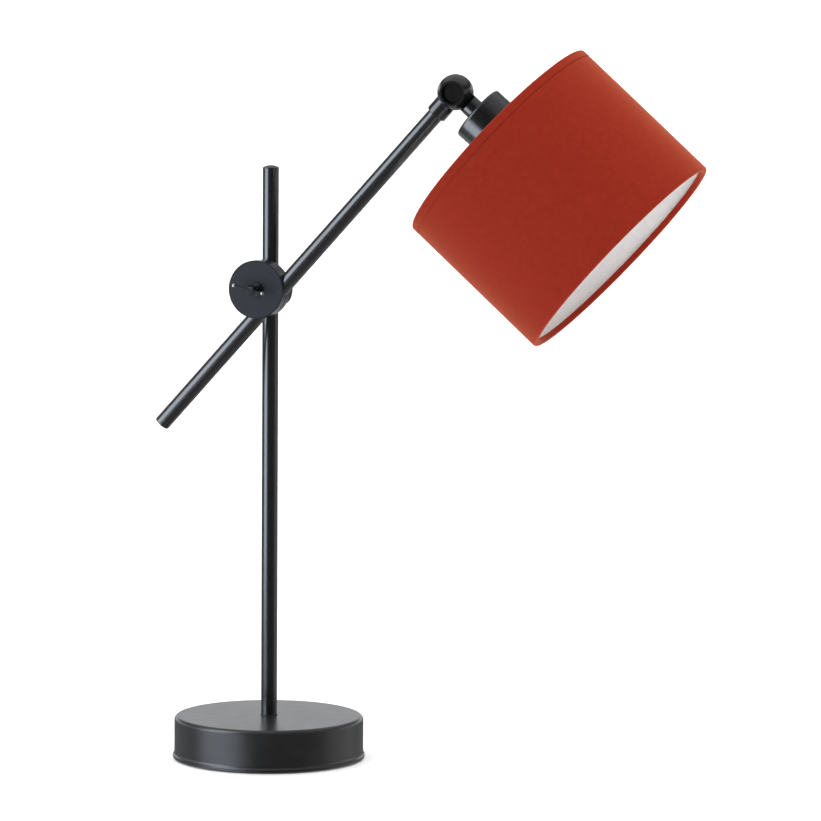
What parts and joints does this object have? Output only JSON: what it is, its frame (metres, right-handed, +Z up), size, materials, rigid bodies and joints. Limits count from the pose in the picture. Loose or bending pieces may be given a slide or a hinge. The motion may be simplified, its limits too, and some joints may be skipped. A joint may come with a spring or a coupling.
{
  "type": "desk lamp",
  "caption": "Architect desk lamp: round weighted base, mast, clamped tilting arm that slides, and a velvet-covered drum shade on a knuckle.",
  "frame": {"origin": "centre of the underside of the base, where it stands on the table", "axes": "+Z up along the mast; the arm leans towards +X; the clamp disc and its screw face -Y"},
  "size_m": [0.4164, 0.1858, 0.5334],
  "materials": {
    "base_enamel": "gloss",
    "cast_iron": "matte",
    "zinc_steel": "satin",
    "felt": "matte",
    "black_rubber": "matte",
    "black_tube": "satin",
    "white_nylon": "matte",
    "black_satin": "satin",
    "turned_black": "finely turned, satin",
    "bakelite": "gloss",
    "brass": "satin",
    "white_wire": "satin",
    "shade_fabric": "velvety",
    "shade_lining": "matte",
    "bulb_cap_metal": "satin",
    "bulb_glass": "frosted white"
  },
  "bodies": {
    "root": {"base_cover": "base_enamel", "base_weight": "cast_iron", "base_plate": "zinc_steel", "base_screws": "zinc_steel", "base_pad": "felt", "cord_grommet": "black_rubber", "mast_tube": "black_tube", "mast_foot_ring": "black_rubber", "mast_washer": "zinc_steel", "mast_nut": "zinc_steel", "mast_end_cap": "black_tube"},
    "liner": {"mast_liner": "white_nylon"},
    "carriage": {"cross_block": "black_satin", "friction_washer": "black_rubber"},
    "arm_clamp": {"clamp_disc": "turned_black"},
    "screw": {"clamp_screw": "black_satin", "tee_bar": "black_satin", "tee_bar_balls": "black_satin"},
    "arm": {"arm_tube": "black_tube", "arm_end_cap": "black_tube"},
    "knuckle": {"knuckle_front": "black_satin", "knuckle_friction_disc": "black_rubber", "knuckle_screw": "black_satin", "knuckle_nut": "zinc_steel"},
    "head": {"knuckle_rear": "black_satin", "neck_nut": "zinc_steel", "socket_cup": "black_satin", "lampholder": "bakelite", "lampholder_contact": "brass", "shade_ring_nut": "bakelite", "shade_hub": "white_wire", "shade_arms": "white_wire", "shade_top_ring": "white_wire", "shade_bottom_ring": "white_wire", "shade_skin": "shade_fabric", "shade_lining": "shade_lining", "bulb_cap": "bulb_cap_metal", "bulb_glass": "bulb_glass"}
  },
  "joints": [
    {"name": "mast_slide", "type": "slide", "parent": "root", "child": "liner", "axis": [0, 0, 1], "range_m": [-0.13, 0.07]},
    {"name": "mast_swivel", "type": "hinge", "parent": "liner", "child": "carriage", "pos_m": [0, 0, 0.3543], "axis": [0, 0, 1], "range_deg": [-170, 170]},
    {"name": "arm_tilt", "type": "hinge", "parent": "carriage", "child": "arm_clamp", "pos_m": [0, -0.0226, 0.3543], "axis": [0, -1, 0], "range_deg": [-50, 32]},
    {"name": "clamp_turn", "type": "hinge", "parent": "carriage", "child": "screw", "pos_m": [0, -0.0226, 0.3543], "axis": [0, -1, 0], "range_deg": [0, 180]},
    {"name": "arm_slide", "type": "slide", "parent": "arm_clamp", "child": "arm", "axis": [0.6756, 0, 0.7373], "range_m": [-0.03, 0.1]},
    {"name": "head_swivel", "type": "hinge", "parent": "arm", "child": "knuckle", "pos_m": [0.15155, -0.0226, 0.50148], "axis": [0.6756, 0, 0.7373], "range_deg": [-90, 60]},
    {"name": "head_tilt", "type": "hinge", "parent": "knuckle", "child": "head", "pos_m": [0.15155, -0.0226, 0.50148], "axis": [-0.0732, 0.9951, 0.0671], "range_deg": [-85, 12]}
  ]
}
